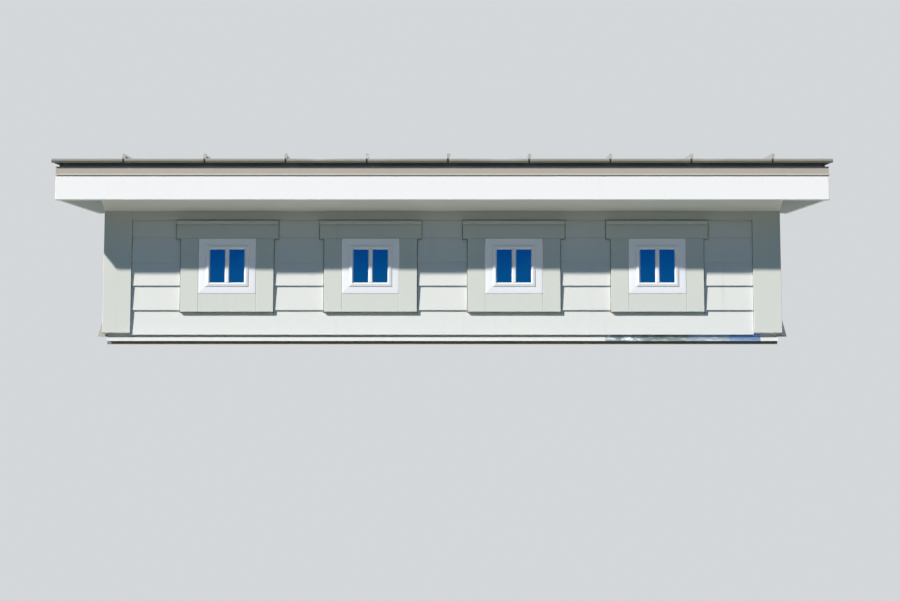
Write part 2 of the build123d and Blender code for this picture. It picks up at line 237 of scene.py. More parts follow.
# %% World that is pale to the camera and gives an even, weaker, blue light
studio_colour = (0.22, 0.58, 1.05)
studio_light = 0.34
world = bpy.data.worlds.new("studio")
bpy.context.scene.world = world
studio = Finish("studio", world)
plain = studio.node("Background", {"Color": studio_colour, "Strength": studio_light})
pale = studio.node("Background", {"Color": pale_grey, "Strength": 1.0})
both = studio.node("MixShader", {0: studio.seen_rays(), 1: plain, 2: pale})
studio.node("OutputWorld", {"Surface": both})
print("light from the world", studio_light)

# %% Lamps
lamp_distance = 8.0


def distant_lamp(name, travel, strength, softness, colour=(1.0, 1.0, 1.0)):
    """A lamp far off, whose light travels one way. Its softness is its width in degrees."""
    light = bpy.data.lights.new(name, "SUN")
    light.energy = strength
    light.angle = math.radians(softness)
    light.color = colour
    holder = in_scene(name, light)
    travel = Vector(travel).normalized()
    holder.location = -lamp_distance * travel
    holder.rotation_euler = travel.to_track_quat("-Z", "Y").to_euler()


distant_lamp("key_lamp", (0.62, 0.465, -0.632), 5.7, 1.8, (1.0, 0.967, 0.922))
distant_lamp("back_lamp", (-0.62, -0.55, -0.56), 1.9, 25.0)

# %% [markdown]
# ## Places
# The solids' boxes give most places, because numbers copied by hand could drift from them. Slopes,
# thicknesses and pitches, which a box doesn't show, are written here as the solids have them. A
# layer that climbs with the dormer's roof is named by its height where it passes over the origin.

# %% Read places from the solids
mm = 0.001
main_slope = 7 / 12
roof_slope = 3 / 12
roof_cos = math.cos(math.atan(roof_slope))
main_cos = math.cos(math.atan(main_slope))


def low(node, axis):
    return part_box(node)[0]["xyz".index(axis)]


def high(node, axis):
    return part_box(node)[1]["xyz".index(axis)]


wall_face = low("front_sheathing", "y")
wall_foot = main_slope * wall_face
sheath_x = high("front_sheathing", "x")
frame_x = high("front_wall_frame", "x")
stud_front = low("front_wall_frame", "y")
stud_back = high("front_wall_frame", "y")
half_wall = high("corner_board_right", "x")
trim_face = low("frieze_front", "y")
fascia_face = low("fascia_front", "y")
fascia_back = high("fascia_front", "y")
fascia_low = low("fascia_front", "z")
fascia_high = high("fascia_front", "z")
rake_face = high("fascia_front", "x")
rake_back = low("rake_fascia_right", "x")
soffit_low = low("soffit_front", "z")
frieze_low = low("frieze_front", "z")
metal_edge = high("roof_panel_10", "x")
print("wall face", wall_face, "half wall", half_wall, "fascia", fascia_low, fascia_high)

# %% Heights of the layers that climb with the roof
deck_thick = 12 * mm
sheet = 1.2 * mm
thin = 0.7 * mm
rafter_depth = 140 * mm
fascia_drop = 27 * mm
frieze_height = 44 * mm
lining_thick = 10 * mm
lining_recess = 3 * mm
deck_low = fascia_high - roof_slope * fascia_face + fascia_drop
deck_high = deck_low + deck_thick / roof_cos
pan_low = deck_high + sheet / roof_cos
pan_high = pan_low + sheet / roof_cos
rafter_low = deck_low - rafter_depth / roof_cos
rake_high = deck_low - fascia_drop
rake_low = rake_high - (fascia_high - fascia_low)
rake_soffit_low = rake_low + lining_recess
rake_soffit_high = rake_soffit_low + lining_thick / roof_cos
rake_frieze_low = rake_soffit_low - frieze_height
print("deck", deck_low, deck_high, "pan top", pan_high, "rafter", rafter_low)

# %% [markdown]
# ## Making solids
# Boards could be stretched cubes, and sheets planes with a modifier for their thickness, but most
# of them end on a slope or are bent. So all are made in one way: a closed ring of points is joined
# to one or more further rings, and the ends are capped. Boards get a small bevel. Each solid also
# stores how its length runs, which the wood and paint finishes read, with a random shift, so that
# no two boards show the same grain.

# %% Directions and simple shapes
X, Y, Z = Vector((1, 0, 0)), Vector((0, 1, 0)), Vector((0, 0, 1))
SLOPE = Vector((0, 1, roof_slope)).normalized()
MAIN_SLOPE = Vector((0, 1, main_slope)).normalized()
SIDES = (("left", -1), ("right", 1))
board_edge = 1.5 * mm
bevel_angle = 0.45  # in radians, between the faces at an edge that gets a bevel
shading_angle = math.radians(40)


def evenly(start, end, count):
    return [start + (end - start) * step / count for step in range(count + 1)]


def rectangle(start, end, bottom, top):
    return [(start, bottom), (end, bottom), (end, top), (start, top)]


print("up the dormer's roof", SLOPE[:], "and up the slope below it", MAIN_SLOPE[:])


# %% A batch of solids
class Batch:
    """Solids of one finish that become one object."""

    def __init__(self):
        self.points, self.faces, self.grain = [], [], []

    def loft(self, rings, along=X, across=Z, ease=0.0):
        """Joins each ring of points to the next one and caps both ends."""
        solid = bmesh.new()
        made = [[solid.verts.new(point) for point in ring] for ring in rings]
        for ring in (made[0], made[-1]):
            solid.faces.new(ring)
        count = len(made[0])
        for ring, after in zip(made, made[1:]):
            for index in range(count):
                turn = (index + 1) % count
                solid.faces.new((ring[index], ring[turn], after[turn], after[index]))
        bmesh.ops.recalc_face_normals(solid, faces=solid.faces)
        if ease:
            sharp = [edge for edge in solid.edges if edge.calc_face_angle(0.0) > bevel_angle]
            shape = {"offset": ease, "segments": 2, "profile": 0.5, "clamp_overlap": True}
            bmesh.ops.bevel(solid, geom=sharp, affect="EDGES", **shape)
        self.take(solid, along, across)

    def take(self, solid, along, across):
        """Keeps the solid's points and faces, and each point's place along and across it."""
        shift = Vector(random.uniform(-5, 5) for _ in range(3))
        axes = (along, across, along.cross(across))
        solid.verts.index_update()
        start = len(self.points)
        for vert in solid.verts:
            self.points.append(vert.co[:])
            self.grain.append(Vector(vert.co.dot(axis) for axis in axes) + shift)
        for face in solid.faces:
            self.faces.append([start + vert.index for vert in face.verts])
        solid.free()

    def carry(self, outline, stations, at):
        """Lofts an outline over many rings. at(station, u, v) gives each point its place."""
        self.loft([[at(station, u, v) for u, v in outline] for station in stations])

    def across_wall(self, outline, start, end, along=X, across=Z, ease=0.0):
        """A side view, as (y, z), carried along X."""
        if len(outline) > 2:
            rings = [[(x, y, z) for y, z in outline] for x in (start, end)]
            self.loft(rings, along, across, ease)

    def board(self, low_corner, high_corner, along=X, across=Z, ease=board_edge):
        (x0, y0, z0), (x1, y1, z1) = low_corner, high_corner
        rings = [[(x, y, z) for x, z in rectangle(x0, x1, z0, z1)] for y in (y0, y1)]
        self.loft(rings, along, across, ease)

    def place(self, name, finish, *nodes, slot=None, smooth=False):
        """Makes the object, gives it its finish and puts it in the place of the solids."""
        mesh = bpy.data.meshes.new(name)
        mesh.from_pydata(self.points, [], self.faces)
        grain = mesh.attributes.new("grain", "FLOAT_VECTOR", "POINT")
        grain.data.foreach_set("vector", [number for vector in self.grain for number in vector])
        mesh.materials.append(finish.material)
        piece = in_scene(name, mesh)
        if smooth:
            mesh.shade_smooth()
            mesh.set_sharp_from_angle(angle=shading_angle)
            piece.modifiers.new("even_shading", "WEIGHTED_NORMAL").keep_sharp = True
        slot = slot or finish.name
        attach(piece, "root")
        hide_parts(*nodes)
        print(name, len(self.faces), "faces for", ", ".join(nodes))


# %% Side views of the layers
far_back, far_up = 3.6, 2.0  # past everything, for outlines that are then cut off
same_place = 1e-6


def span(sign, inner, outer):
    """Both ends of a piece on one side of the wall, in the order of X."""
    return sorted((sign * inner, sign * outer))


def climb(y, height, slope=roof_slope):
    """The side-view point at a depth, on a layer that climbs from a height at the origin."""
    return (y, height + slope * y)


def runs_out(height):
    """How far back a layer of the roof meets the slope that the dormer stands on."""
    return height / (main_slope - roof_slope)


def clip(outline, keep):
    """The part of an outline where keep, a straight-line function of a point, isn't negative."""
    kept = []
    for here, there in zip(outline, outline[1:] + outline[:1]):
        a, b = keep(here), keep(there)
        if a >= 0:
            kept.append(here)
        if (a > 0 > b) or (a < 0 < b):
            share = a / (a - b)
            kept.append(tuple(p + (q - p) * share for p, q in zip(here, there)))
    return kept


def above_slope(outline, height=0.0):
    return clip(outline, lambda point: point[1] - main_slope * point[0] - height)


def tidy(outline):
    """Drops points that repeat the one before them."""
    return [p for p, q in zip(outline, outline[-1:] + outline[:-1]) if math.dist(p, q) > same_place]


def under(outline, height):
    return tidy(clip(outline, lambda point: height + roof_slope * point[0] - point[1]))


def band(bottom, top, start, end=far_back, slope=roof_slope):
    """Side view of a layer that climbs with a roof, cut off along the slope it stands on."""
    outline = [climb(start, bottom, slope), climb(end, bottom, slope)]
    return above_slope(outline + [climb(end, top, slope), climb(start, top, slope)])


print("a layer 0.1 m thick in side view", band(0, 0.1, 0))

# %% Outlines of bent sheets
longest_share = 0.45  # of a straight stretch that the curve at its end may take up


def rounded(path, radius, steps):
    """The path with each corner turned on a small curve."""
    path = [Vector(point) for point in path]
    points = [path[0]]
    for before, corner, after in zip(path, path[1:], path[2:]):
        back, ahead = before - corner, after - corner
        room = longest_share * min(back.length, ahead.length)
        reach = min(radius / math.tan(back.angle(ahead) / 2), room)
        start, stop = corner + back.normalized() * reach, corner + ahead.normalized() * reach
        for share in evenly(0, 1, steps):
            rest = 1 - share
            points.append(rest**2 * start + 2 * share * rest * corner + share**2 * stop)
    return points + [path[-1]]


def bent(path, thickness=thin, radius=2 * mm, steps=4):
    """Outline of a bent sheet that lies on the left of a path."""
    line = rounded(path, radius, steps)
    other = []
    for index, point in enumerate(line):
        run = line[min(index + 1, len(line) - 1)] - line[max(index - 1, 0)]
        other.append(point + Vector((-run.y, run.x)).normalized() * thickness)
    return [tuple(point) for point in line + other[::-1]]


print("a sheet with one bend has", len(bent([(0, 0), (1, 0), (1, 1)])), "points")

# %% [markdown]
# ## Paint on boards
# The siding is a warm white, the trim a pale grey-green and the fascia a clean white. Paint on a
# board is never flat: it shows brush marks along the board, an uneven gloss, and faint dirt that
# rain has drawn down. One even colour would look like plastic, so all three are noise, stretched
# along the board or along the fall.


# %% Board paint
def board_paint(name, colour, shade, gloss, dirt=0.2):
    """Paint with brush marks, faint dirt runs and an uneven gloss."""
    paint = Finish(name)
    brush = paint.noise((2.5, 160.0, 160.0), 4.0, 0.6, over=paint.grain())
    cloud = paint.noise(2.2, 4.0, 0.6)
    runs = paint.noise((26.0, 26.0, 1.6), 3.0, 0.65)
    dirty = paint.spread(runs, 0.52, 0.8) * paint.spread(cloud, 0.35, 0.75)
    tone = paint.mix(cloud, colour, shade)
    tone = paint.mix(dirty * dirt, tone, (0.36, 0.35, 0.31))
    tone = paint.stain(tone, (0.30, 0.29, 0.26), paint.noise(420.0, 2.0), 0.70, 0.78, 0.12)
    rough = gloss + (brush - 0.5) * 0.22 + dirty * 0.2
    marks = paint.bump(brush, 0.35, 0.25 * mm)
    skin = paint.bump(paint.noise(900.0, 2.0), 0.12, 0.1 * mm, marks)
    return paint.surface(Base_Color=tone, Roughness=rough, Normal=skin, IOR=1.47)


siding_paint = board_paint("siding_paint", (0.775, 0.775, 0.735), (0.735, 0.738, 0.70), 0.52)
trim_paint = board_paint("trim_paint", (0.705, 0.715, 0.652), (0.67, 0.682, 0.62), 0.48)
fascia_paint = board_paint("fascia_paint", (0.95, 0.93, 0.905), (0.925, 0.905, 0.88), 0.45, 0.12)
soffit_paint = board_paint("soffit_paint", (0.90, 0.91, 0.90), (0.87, 0.88, 0.87), 0.55, 0.08)
# The rake linings are the soffit's panel in a darker grey-green: painted shade under the rake.
painted_shade_lining = board_paint("painted_shade_lining", (0.41, 0.47, 0.45), (0.38, 0.44, 0.42), 0.6)

# %% [markdown]
# ## Coil-coated sheet
# The roof, its strips and the apron are sheet steel, painted before it is folded. The coat is
# smooth, with a fine grain under low light. Dew and dust dry on the pans in pale smears across
# the slope. Noise of one size all over would look like stone, so the roof gets noise stretched
# along X, and its streaks up the slope stay faint.


# %% Sheet metal finishes
def coated_sheet(name, colour, dust, metal=0.0, gloss=0.36, worn=0.25, smeared=0.0):
    """Factory-painted sheet with dust, dried smears, handling scuffs and long flat waves."""
    coat = Finish(name)
    cloud = coat.noise(1.7, 5.0, 0.62, 0.4)
    streak = coat.noise((34.0, 2.2, 34.0), 4.0, 0.6)
    grain = coat.noise(1500.0, 2.0)
    dusty = coat.spread(cloud, 0.42, 0.72) * (0.35 + streak * 0.65)
    tone = coat.mix(dusty * worn, colour, dust)
    if smeared:
        smear = coat.noise((1.9, 13.0, 13.0), 5.0, 0.62, 0.5)
        patch = coat.noise((2.4, 1.1, 1.1), 2.0)
        dried = coat.spread(smear, 0.44, 0.66) * coat.spread(patch, 0.36, 0.62)
        dusty = dusty + dried * 0.5
        tone = coat.mix(dried * smeared, tone, (0.68, 0.69, 0.66))
    tone = coat.stain(tone, dust, grain, 0.6, 0.8, 0.15)
    rough = gloss + dusty * 0.28 + (grain - 0.5) * 0.1
    swell = coat.bump(coat.noise((5.0, 1.3, 5.0), 1.0, 0.4), 0.25, 4 * mm)
    fine = coat.bump(grain, 0.06, 0.05 * mm, swell)
    return coat.surface(Base_Color=tone, Metallic=metal, Roughness=rough, Normal=fine)


warm_grey, taupe, off_white = (0.345, 0.332, 0.303), (0.455, 0.405, 0.342), (0.565, 0.565, 0.545)
roof_metal = coated_sheet("roof_metal", warm_grey, (0.43, 0.42, 0.395), metal=0.12, smeared=0.36)
strip_metal = coated_sheet("strip_metal", taupe, (0.52, 0.48, 0.43), gloss=0.5)
white_metal = coated_sheet("white_metal", off_white, (0.485, 0.48, 0.45), gloss=0.42, worn=0.45)

# %% [markdown]
# One length of the apron was left unpainted: four lapped pieces of galvanised steel, weathered
# each in its own way, from chalky and blotched grey to blue. Their blue, strongest on the last
# pieces, is a painted reflection of the sky. Four materials would need four slots, so a ramp along
# the apron gives the ground tone instead. Over it come the spangle of crystals and a white bloom,
# which is thickest on the first piece and missing on the last.

# %% Galvanised sheet
zinc = Finish("bare_metal")
zinc_x = zinc.node("SeparateXYZ", {"Vector": zinc.place()}, "X")
bare_low, bare_high = low("apron_flashing_bare", "x"), high("apron_flashing_bare", "x")
share_along = (zinc_x - bare_low) * (1.0 / (bare_high - bare_low))
# Weathered tones of the four pieces; their blue is a painted reflection of the sky.
piece_tones_and_sky = [(0.22, 0.29, 0.32), (0.165, 0.22, 0.215), (0.27, 0.37, 0.46), (0.15, 0.28, 0.52)]
piece_ends = [0.0, 0.225, 0.535, 0.80, 1.0]
lap_blend = 0.004
piece_stops = []
for tone, start, end in zip(piece_tones_and_sky, piece_ends, piece_ends[1:]):
    piece_stops += [(start + lap_blend, tone), (end - lap_blend, tone)]
zinc_and_sky_tone = zinc.node("ValToRGB", {"Fac": share_along}, stops=piece_stops)
spangle = zinc.node("TexVoronoi", {"Vector": zinc.place(), "Scale": 95.0}, "Color")
crystal = zinc.node("RGBToBW", {"Color": spangle})
first_share = 1.0 - zinc.spread(share_along, 0.20, 0.26, 0.0, 0.55)
bloom_share = zinc.spread(share_along, 0.70, 0.90, 1.0, 0.0) * first_share
bloom = zinc.spread(zinc.noise(16.0, 6.0, 0.7, 0.6), 0.47, 0.60) * bloom_share
zinc_and_sky_tone = zinc.mix(crystal * 0.3, zinc_and_sky_tone, (0.50, 0.57, 0.61))
bare_metal = zinc.surface(
    Base_Color=zinc.mix(bloom * 0.75, zinc_and_sky_tone, (0.76, 0.80, 0.80)),
    Metallic=0.55 - bloom * 0.45,
    Roughness=0.34 + crystal * 0.16 + bloom * 0.3,
    Normal=zinc.bump(crystal, 0.15, 0.1 * mm),
)
print("bare pieces end at", piece_ends[1:])

# %% [markdown]
# ## Window vinyl and glass
# The windows are welded white vinyl: a faintly glossy plastic with a fine satin texture. Clear
# glass would mirror the pale studio and let the framing show, so the pane is a mirror with a blue
# tint. The blue is a painted reflection of a clear sky: deep and even, a little lighter low down.

# %% Vinyl
vinyl = Finish("window_vinyl")
satin = vinyl.noise(1400.0, 2.0)
window_vinyl = vinyl.surface(
    Base_Color=vinyl.mix(vinyl.noise(6.0), (0.93, 0.932, 0.94), (0.90, 0.904, 0.915)),
    Roughness=0.30 + satin * 0.12,
    Normal=vinyl.bump(satin, 0.08, 0.05 * mm),
    IOR=1.7,
    Coat_Weight=1.0,
    Coat_IOR=1.7,
    Coat_Roughness=0.15,
)

# %% Glass and its spacer
pane = Finish("window_pane")
# Painted reflection of a clear sky: deep blue, a little lighter low down.
pane_height = pane.node("SeparateXYZ", {"Vector": pane.place()}, "Z")
painted_sky_rise = pane.spread(pane_height, 0.27, 0.46)
film = pane.noise(9.0, 4.0, 0.6)
painted_sky_tone = pane.mix(painted_sky_rise, (0.002, 0.110, 0.360), (0.001, 0.070, 0.300))
painted_sky_tone = pane.stain(painted_sky_tone, (0.02, 0.13, 0.36), film, 0.55, 0.8, 0.25)
window_pane = pane.surface(Base_Color=painted_sky_tone, Metallic=1.0, Roughness=0.03 + film * 0.06)

spacer = Finish("spacer_bar")
drawn = spacer.noise((900.0, 900.0, 30.0), 2.0)
spacer_bar = spacer.surface(
    Base_Color=spacer.mix(drawn, (0.46, 0.47, 0.48), (0.56, 0.57, 0.58)),
    Metallic=0.9,
    Roughness=0.3 + drawn * 0.15,
)

# %% [markdown]
# ## Lumber and strand board
# Behind the boards is the carpentry. A picture of wood would repeat on every stud, so the figure
# is worked out from each board's own length. Growth rings are rings round an axis that runs along
# the board, well outside it, and knots are sparse dark cells. Strand board is flat strands pressed
# one over another, so it is three layers of long cells, and the highest cell lies on top.

# %% Softwood
wood = Finish("lumber")
wood_grain = wood.grain()
drift = wood.noise((1.2, 6.0, 6.0), over=wood_grain)
waves = {"Vector": wood.scaled(wood_grain, (0.05, 1.0, 1.0)), "Scale": 55.0}
waves |= {"Distortion": 5.0, "Detail": 3.0, "Detail Scale": 1.2}
rings = {"wave_type": "RINGS", "rings_direction": "X", "wave_profile": "SAW"}
rings = wood.node("TexWave", waves, "Fac", **rings)
fibre = wood.noise((9.0, 700.0, 700.0), 3.0, 0.6, over=wood_grain)
knot_cells = {"Vector": wood.scaled(wood_grain, (1.0, 2.2, 2.2)), "Scale": 2.6}
knot = 1.0 - wood.spread(wood.node("TexVoronoi", knot_cells, "Distance"), 0.03, 0.075)
wood_tone = wood.mix(rings, (0.60, 0.42, 0.235), (0.46, 0.285, 0.135))
wood_tone = wood.stain(wood_tone, (0.66, 0.50, 0.31), drift, 0.35, 0.7, 0.5)
wood_tone = wood.stain(wood_tone, (0.34, 0.21, 0.11), fibre, 0.55, 0.8, 0.35)
lumber = wood.surface(
    Base_Color=wood.mix(knot * 0.85, wood_tone, (0.16, 0.085, 0.04)),
    Roughness=0.62 + fibre * 0.2,
    Normal=wood.bump(fibre, 0.4, 0.3 * mm, wood.bump(rings, 0.2, 0.3 * mm)),
)

# %% Strand board
strands = Finish("strand_board")
flat = strands.grain()
top_cell, seam_near = None, None
for turn, stretch in ((0.25, (8, 55, 1)), (1.45, (7, 42, 1)), (2.55, (10, 60, 1))):
    turned = {"Vector": flat, "Angle": turn}
    turned = strands.node("VectorRotate", turned, rotation_type="Z_AXIS")
    cells = {"Vector": strands.scaled(turned, stretch), "Scale": 1.0}
    cell = strands.node("RGBToBW", {"Color": strands.node("TexVoronoi", cells, "Color")})
    rim_of = strands.node("TexVoronoi", cells, feature="DISTANCE_TO_EDGE")
    top_cell = top_cell.maths("MAXIMUM", top_cell, cell) if top_cell else cell
    seam_near = seam_near.maths("MINIMUM", seam_near, rim_of) if seam_near else rim_of
strand_fibre = strands.noise((30.0, 420.0, 10.0), over=flat)
strand_stops = [(0.35, (0.30, 0.185, 0.09)), (0.6, (0.52, 0.36, 0.19)), (0.85, (0.66, 0.50, 0.30))]
strand_tone = strands.node("ValToRGB", {"Fac": top_cell}, stops=strand_stops)
glue_line = 1.0 - strands.spread(seam_near, 0.0, 0.07)
strand_tone = strands.mix(glue_line * 0.45, strand_tone, (0.20, 0.115, 0.05))
strand_board = strands.surface(
    Base_Color=strands.stain(strand_tone, (0.36, 0.235, 0.12), strand_fibre, 0.5, 0.8, 0.3),
    Roughness=0.6 + strand_fibre * 0.2,
    Normal=strands.bump(top_cell, 0.5, 0.6 * mm, strands.bump(strand_fibre, 0.2, 0.2 * mm)),
)

# %% [markdown]
# ## Trim boards
# Fascia, frieze, soffit, corner and rake boards are flat and square. The solids could stand in
# for them as they are, but real boards have eased edges and fine joints where they meet, and
# these catch the light. So each is its own board, rounded by a millimetre or two.

# %% Fascia and soffit
hair = 0.3 * mm  # the joint between two painted boards
fascia_ease = 1.6 * mm
lining_ease = 0.8 * mm
fascia = Batch()
fascia_top = (rake_face, fascia_back, fascia_high)
fascia.board((-rake_face, fascia_face, fascia_low), fascia_top, ease=fascia_ease)
fascia.place("fascia_board", fascia_paint, "fascia_front")

for side, sign in SIDES:
    rake = Batch()
    outline = band(rake_low, rake_high, fascia_back + hair)
    rake.across_wall(outline, *span(sign, rake_back, rake_face), SLOPE, X, fascia_ease)
    rake.place(f"rake_board_{side}", fascia_paint, f"rake_fascia_{side}")
    lining = Batch()
    outline = band(rake_soffit_low, rake_soffit_high, fascia_back)
    lining.across_wall(outline, *span(sign, sheath_x, rake_back), SLOPE, X, lining_ease)
    lining.place(f"rake_lining_{side}", painted_shade_lining, f"rake_soffit_{side}", slot="soffit_panel")

soffit = Batch()
soffit_top = (sheath_x, wall_face, soffit_low + lining_thick)
soffit.board((-sheath_x, fascia_back, soffit_low), soffit_top, ease=lining_ease)
soffit.place("eave_lining", soffit_paint, "soffit_front", slot="soffit_panel")

# %% Frieze
corner_width = high("corner_board_left", "x") - low("corner_board_left", "x")
corner_low = low("corner_board_left", "z")
corner_end = trim_face + corner_width
frieze = Batch()
frieze_half = half_wall - corner_width - hair
frieze.board((-frieze_half, trim_face, frieze_low), (frieze_half, wall_face, soffit_low))
frieze.place("frieze_board", trim_paint, "frieze_front")

# %% Corner boards, with the rails and the eave's ends above them
closing_edge = 0.5 * mm
for side, sign in SIDES:
    corner = Batch()
    x0, x1 = span(sign, half_wall - corner_width, half_wall)
    corner.board((x0, trim_face, corner_low), (x1, wall_face, soffit_low), Z, X)
    x0, x1 = span(sign, sheath_x, half_wall)
    start = wall_face + hair
    foot = corner_low - main_slope * wall_face
    outline = [climb(y, foot, main_slope) for y in (start, corner_end)]
    outline += [climb(y, rake_frieze_low) for y in (corner_end, start)]
    corner.across_wall(outline, x0, x1, Z, Y, board_edge)
    corner.place(f"corner_boards_{side}", trim_paint, f"corner_board_{side}")

    rail = Batch()
    outline = band(rake_frieze_low, rake_soffit_low, trim_face)
    rail.across_wall(outline, x0, x1, SLOPE, X, board_edge)
    rail.place(f"rake_rail_{side}", trim_paint, f"rake_frieze_{side}")
    closing = Batch()
    outline = [(fascia_back, soffit_low), (trim_face, soffit_low)]
    outline += [climb(y, rake_soffit_low) for y in (trim_face, fascia_back)]
    closing.across_wall(under(outline, rake_soffit_low), x0, x1, Y, Z, closing_edge)
    closing.place(f"eave_end_{side}", soffit_paint, f"rake_frieze_{side}", slot="soffit_panel")

# %% [markdown]
# ## Lap siding
# Each course is one long board that hangs over the course below, so it leans out at its foot.
# One saw-toothed solid would give the same lines, but separate boards show real edges and gaps at
# every end. A board is drawn as an outline on the wall, notched round the casings, and each of its
# points leans out by how low it lies on the board.

# %% Window places
head_overhang = 23 * mm
window_gap = 1 * mm  # between a window and its casing
window_nodes = [f"window_frame_{number}" for number in range(1, 5)]
centres = [(low(node, "x") + high(node, "x")) / 2 for node in window_nodes]
window_low, window_high = low("window_frame_1", "z"), high("window_frame_1", "z")
window_half = (high("window_frame_1", "x") - low("window_frame_1", "x")) / 2
window_middle = (window_low + window_high) / 2
casing_low = low("window_casing_1", "z")
head_half = (high("window_casing_1", "x") - low("window_casing_1", "x")) / 2
casing_half = head_half - head_overhang
head_low = window_high + window_gap
print("windows at", centres, "from", window_low, "to", window_high)

# %% Outlines of the siding boards
exposure = 127 * mm
plank_height = 159 * mm
plank = 8 * mm
board_thick = 6.2 * mm
board_ease = 0.9 * mm
gap = 3 * mm
top_joint = 0.5 * mm
most_sag = 0.2 * mm  # how far a board's face may lie back from its place
siding_low = low("siding_front", "z")
siding_half = high("siding_front", "x")


def lean(z, foot):
    """How far the face of a board stands out from the wall at a height."""
    return 2 * plank - plank * (z - foot) / plank_height


def between_casings(reach):
    """The runs of wall that casings of this half width leave free, as pairs of ends."""
    ends = [centre + side * (reach + gap) for centre in centres for side in (-1, 1)]
    ends = [-siding_half] + ends + [siding_half]
    return list(zip(ends[::2], ends[1::2]))


def course_outlines(foot, top):
    """Outlines of one course on the front wall, as (x, z), cut round the casings."""
    casing_foot, shoulder = casing_low - gap, head_low - gap
    if foot > shoulder:
        return [rectangle(a, b, foot, top) for a, b in between_casings(head_half)]
    runs = between_casings(casing_half)
    if foot < casing_foot:
        notched = []
        for a, b in reversed(runs):
            notched += [(b, casing_foot), (b, top), (a, top), (a, casing_foot)]
        return [[(-siding_half, foot), (siding_half, foot)] + notched[1:-1]]
    outlines = []
    step = min(top, shoulder)
    for (a, b), (c, d) in zip(runs, between_casings(head_half)):
        outline = [(a, foot), (b, foot), (b, step)]
        if top > step:
            outline += [(d, step), (d, top), (c, top), (c, step)]
        outlines.append(outline + [(a, step)])
    return outlines


print("runs of wall between the casings", between_casings(casing_half))

# %% Siding boards on the front wall
siding = Batch()
for course in range(math.ceil((frieze_low - siding_low) / exposure)):
    foot = siding_low + course * exposure
    top = min(foot + plank_height, frieze_low - top_joint)
    for outline in course_outlines(foot, top):
        sag = abs(random.uniform(-most_sag, most_sag))
        front = [(x, wall_face - lean(z, foot) + sag, z) for x, z in tidy(outline)]
        back = [(x, y + board_thick, z) for x, y, z in front]
        siding.loft([front, back], X, Z, board_ease)
siding.place("siding_boards_front", siding_paint, "siding_front")

# %% Siding boards on the cheeks
siding_foot = 43 * mm  # room over the slope, for the flashings
side_start = corner_end + gap
cheek_high = main_slope * runs_out(rake_frieze_low)
for side, sign in SIDES:
    siding = Batch()
    for course in range(math.ceil((cheek_high - siding_low) / exposure)):
        foot = siding_low + course * exposure
        outline = rectangle(side_start, far_back, foot, foot + plank_height)
        outline = under(above_slope(outline, siding_foot), rake_frieze_low - top_joint)
        if len(outline) > 2:
            front = [(sign * (sheath_x + lean(z, foot)), y, z) for y, z in outline]
            back = [(x - sign * board_thick, y, z) for x, y, z in front]
            siding.loft([front, back], Y, Z, board_ease)
    siding.place(f"siding_boards_{side}", siding_paint, f"siding_{side}")

# %% [markdown]
# ## Windows
# A vinyl window is a hollow extrusion, mitred and welded at its corners. Its face has a broad
# rounded rim, a cove, the sash behind it and a sloping bead that holds the glass. A square ring
# with a bevel would lose the cove and the bead, so the section is drawn once and carried along
# each of the four sides, with its ends cut at 45 degrees.

# %% Sections in mm, as (distance in from the edge, distance in front of the wall's face)
rim_section = [(0, -63), (0, 24.4), (0.6, 25.7), (2, 26.2), (12, 27), (33, 28), (34.4, 27.8)]
rim_section += [(35, 27.4), (35.3, 26.6), (36, 26.6), (36.3, 27.6), (37, 29.7), (38.2, 30.7)]
rim_section += [(50, 33), (51.8, 32.7), (53.2, 31.6), (57.2, 26.4), (58, 25.2), (58, 24.05)]
rim_section += [(52, 24.05), (52, -26), (36, -26), (36, -63)]
bar_section = [(-11.5, 0.05), (-11.5, 1.6), (-10.6, 3.2), (-8.2, 6.2), (-6.8, 7), (6.8, 7)]
bar_section += [(8.2, 6.2), (10.6, 3.2), (11.5, 1.6), (11.5, 0.05)]
spacer_section = [(0, -3.2), (7.5, -3.2), (7.5, -18.9), (0, -18.9)]
glass_face = low("window_glass", "y")
rim_width = 58 * mm  # as in the section
glass_bite = 5.7 * mm
light_half = window_half - rim_width
pane_half = light_half + glass_bite
weld = 0.12 * mm
print("visible glass", 2 * light_half, "wide, in a frame", 2 * window_half, "wide")


# %% Four sides with mitred corners
def square_frame(batch, section, centre, half, face, open_by=0.0):
    """Four sides with mitred ends round a window's middle, each end held back by open_by."""
    for turn in range(4):

        def corner(end, inset, out):
            reach = half - inset * mm
            u, v = end * (reach - open_by), reach
            for _ in range(turn):
                u, v = -v, u
            return (centre + u, face - out * mm, window_middle + v)

        batch.carry(section, (-1, 1), corner)


# %% Frames, bars and welds
let_in = 1 * mm  # how far a bar's end reaches into the frame
bar_half = light_half + let_in
back_bar = 26 * mm
bars = ((0.0, -1.0), (back_bar, 0.6))  # places behind the glass, and how far out each stands
for number, centre in enumerate(centres, start=1):
    window = Batch()
    square_frame(window, rim_section, centre, window_half, wall_face, weld)
    for behind, reach in bars:
        window.carry(
            bar_section,
            (window_middle - bar_half, window_middle + bar_half),
            lambda z, x, out: (centre + x * mm, glass_face + behind + reach * out * mm, z),
        )
    window.place(f"vinyl_window_{number}", window_vinyl, f"window_frame_{number}", smooth=True)

